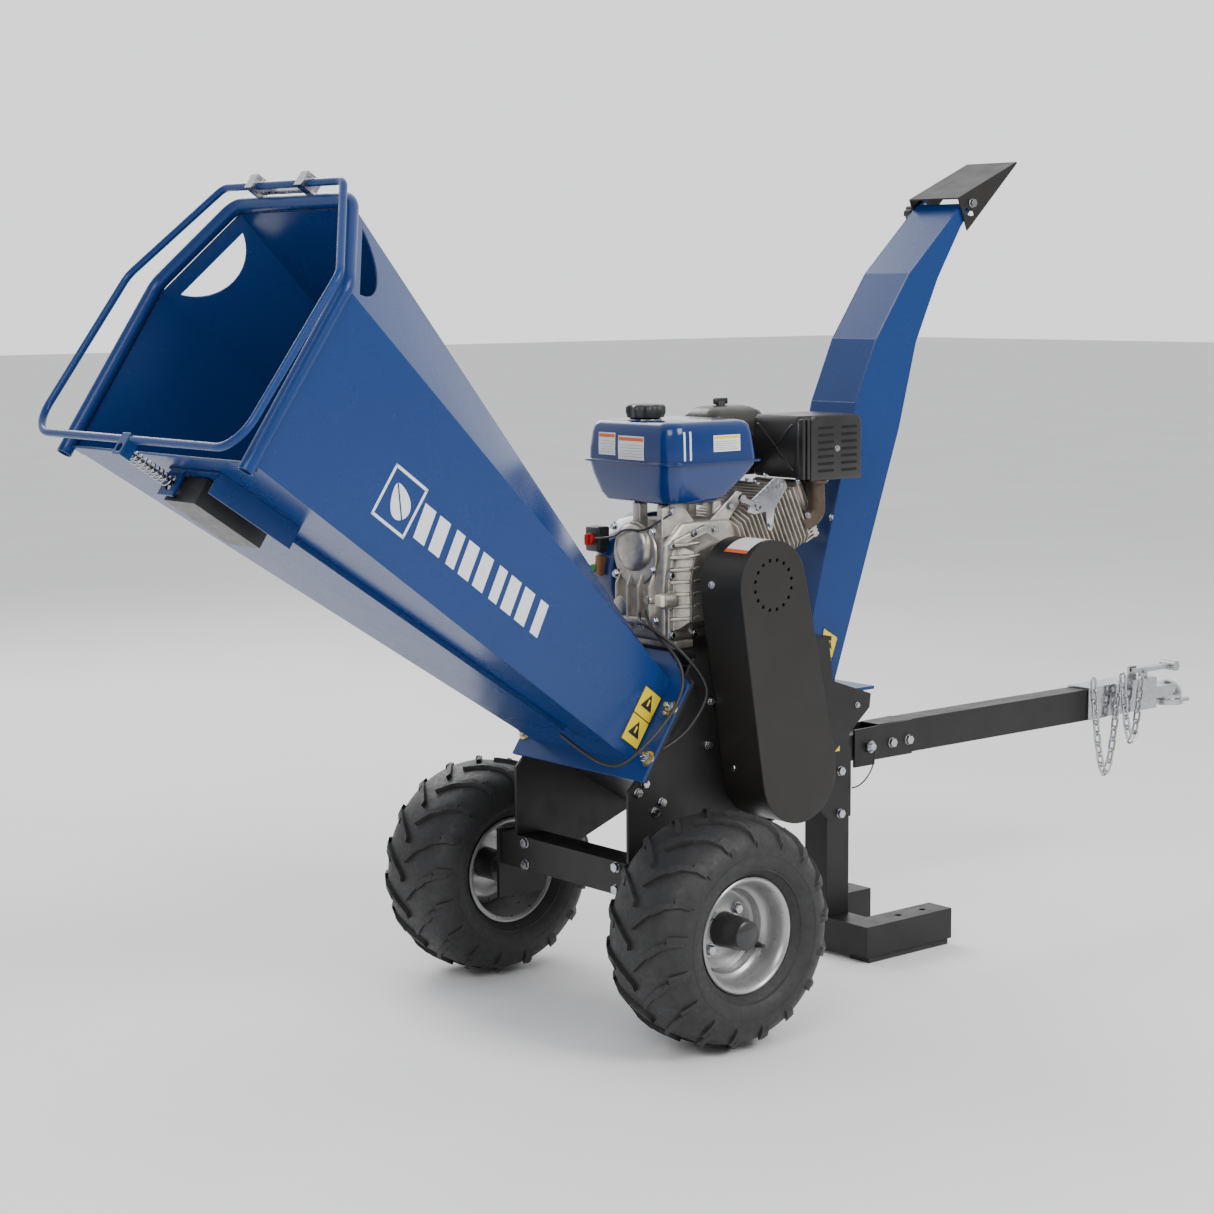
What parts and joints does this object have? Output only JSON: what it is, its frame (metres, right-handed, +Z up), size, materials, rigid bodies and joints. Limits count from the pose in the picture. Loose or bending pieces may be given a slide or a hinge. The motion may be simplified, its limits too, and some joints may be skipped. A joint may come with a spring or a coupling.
{
  "type": "towable wood chipper",
  "caption": "Two-wheeled petrol wood chipper with a tapered feed hopper, a curved discharge chute, a belt drive and a tow bar.",
  "frame": {"origin": "on the ground under the middle of the overall box", "axes": "+X towards the tow coupler, +Z up, -Y towards the belt guard"},
  "size_m": [2.6487, 0.836, 1.5288],
  "materials": {
    "blue paint": "gloss enamel",
    "black paint": "satin powder coat",
    "silver paint": "satin enamel",
    "foot pad": "matt",
    "tyre": "matt",
    "cast alloy": "as cast",
    "black plastic": "satin",
    "red plastic": "gloss",
    "cream plastic": "satin",
    "zinc plate": "bright zinc",
    "machined steel": "turned",
    "cast iron": "as cast",
    "belt rubber": "matt",
    "cable sheath": "satin"
  },
  "bodies": {
    "frame": {"side_plates": "black paint", "housing_wrap": "black paint", "engine_deck": "black paint", "axle_beam": "black paint", "stub_axles": "black paint", "gusset_plates": "black paint", "stand_post": "black paint", "stand_foot": "black paint", "foot_pads": "foot pad", "anvil": "machined steel", "rotor_bearings": "cast iron", "hopper": "blue paint", "hopper_flange": "blue paint", "rim_tube": "blue paint", "bail_clamps": "zinc plate", "switch_bracket": "blue paint", "switch_box": "black plastic", "chute": "blue paint", "belt_guard": "black paint", "crankcase": "cast alloy", "crankcase_cover": "cast alloy", "cylinder": "cast alloy", "rocker_cover": "black paint", "fuel_tank": "blue paint", "air_cleaner": "black plastic", "muffler": "black paint", "recoil_housing": "black plastic", "tow_bracket": "black paint", "tow_bar": "black paint", "coupler": "zinc plate", "safety_chain": "zinc plate", "fasteners": "zinc plate", "belts": "belt rubber", "stop_cable": "cable sheath", "sensor_cable": "cable sheath"},
    "bail": {"control_bail": "blue paint"},
    "plunger": {"switch_plunger": "zinc plate", "bail_spring": "zinc plate"},
    "deflector": {"deflector": "black paint"},
    "deflector knob": {"deflector_knob": "black plastic"},
    "near wheel": {"tyre_near": "tyre", "wheel_near": "silver paint"},
    "far wheel": {"tyre_far": "tyre", "wheel_far": "silver paint"},
    "crank": {"crankshaft": "machined steel", "clutch_pulley": "cast iron"},
    "rotor": {"rotor_shaft": "machined steel", "rotor_drum": "cast iron", "rotor_knives": "machined steel", "driven_pulley": "cast iron"},
    "fuel cap": {"fuel_cap": "black plastic"},
    "dipstick": {"dipstick": "cream plastic"},
    "starter handle": {"recoil_handle": "black plastic"},
    "throttle": {"throttle_lever": "zinc plate"},
    "choke": {"choke_lever": "zinc plate"},
    "engine switch": {"engine_switch": "red plastic"},
    "filter knob": {"filter_knob": "black plastic"},
    "hitch pin": {"hitch_pin": "zinc plate", "lanyard": "cable sheath"},
    "coupler latch": {"coupler_latch": "zinc plate"}
  },
  "joints": [
    {"name": "bail_press", "type": "hinge", "parent": "frame", "child": "bail", "pos_m": [-1.01385, 0, 1.45288], "axis": [0, 1, 0], "range_deg": [-3, 0], "stiffness_Nm_per_rad": 60, "springref_deg": 5.73},
    {"name": "plunger_slide", "type": "slide", "parent": "frame", "child": "plunger", "axis": [-0.829, 0, 0.5592], "range_m": [-0.0264, 0]},
    {"name": "deflector_tilt", "type": "hinge", "parent": "frame", "child": "deflector", "pos_m": [0.53, 0, 1.446], "axis": [0, 1, 0], "range_deg": [0, 40]},
    {"name": "deflector_knob_turn", "type": "hinge", "parent": "frame", "child": "deflector knob", "pos_m": [0.51882, 0, 1.42942], "axis": [0, 1, 0], "range_deg": [-90, 90]},
    {"name": "near_wheel_spin", "type": "hinge", "parent": "frame", "child": "near wheel", "pos_m": [-0.375, -0.323, 0.203], "axis": [0, 1, 0], "continuous": true},
    {"name": "far_wheel_spin", "type": "hinge", "parent": "frame", "child": "far wheel", "pos_m": [-0.375, 0.323, 0.203], "axis": [0, 1, 0], "continuous": true},
    {"name": "rotor_spin", "type": "hinge", "parent": "frame", "child": "rotor", "pos_m": [-0.125, 0, 0.43], "axis": [0, 1, 0], "continuous": true},
    {"name": "crank_spin", "type": "hinge", "parent": "frame", "child": "crank", "pos_m": [-0.192, 0, 0.772], "axis": [0, 1, 0], "continuous": true},
    {"name": "fuel_cap_turn", "type": "hinge", "parent": "frame", "child": "fuel cap", "pos_m": [-0.257, 0, 1.054], "axis": [0, 0, 1], "range_deg": [0, 90]},
    {"name": "dipstick_pull", "type": "slide", "parent": "frame", "child": "dipstick", "axis": [-1, 0, 0], "range_m": [0, 0.04]},
    {"name": "starter_pull", "type": "slide", "parent": "frame", "child": "starter handle", "axis": [0.9903, 0, 0.1392], "range_m": [0, 0.4], "stiffness_N_per_m": 15, "springref_m": -0.1},
    {"name": "throttle_swing", "type": "hinge", "parent": "frame", "child": "throttle", "pos_m": [-0.075, -0.106, 0.89], "axis": [0, 1, 0], "range_deg": [-20, 30]},
    {"name": "choke_swing", "type": "hinge", "parent": "frame", "child": "choke", "pos_m": [-0.025, 0.103, 0.908], "axis": [0, 1, 0], "range_deg": [-20, 25]},
    {"name": "engine_switch_turn", "type": "hinge", "parent": "frame", "child": "engine switch", "pos_m": [-0.317, 0.085, 0.835], "axis": [-1, 0, 0], "range_deg": [0, 45]},
    {"name": "filter_knob_turn", "type": "hinge", "parent": "frame", "child": "filter knob", "pos_m": [-0.01, 0.07, 1.067], "axis": [0, 0, 1], "range_deg": [0, 180]},
    {"name": "hitch_pin_pull", "type": "slide", "parent": "frame", "child": "hitch pin", "axis": [0, -1, 0], "range_m": [0, 0.08]},
    {"name": "coupler_latch_lift", "type": "hinge", "parent": "frame", "child": "coupler latch", "pos_m": [1.159, 0, 0.452], "axis": [0, 1, 0], "range_deg": [-70, 0]}
  ],
  "couplings": [
    {"joint": "crank_spin", "follows": "rotor_spin", "ratio": 1.34},
    {"joint": "plunger_slide", "follows": "bail_press", "m_per_rad": 0.502}
  ]
}
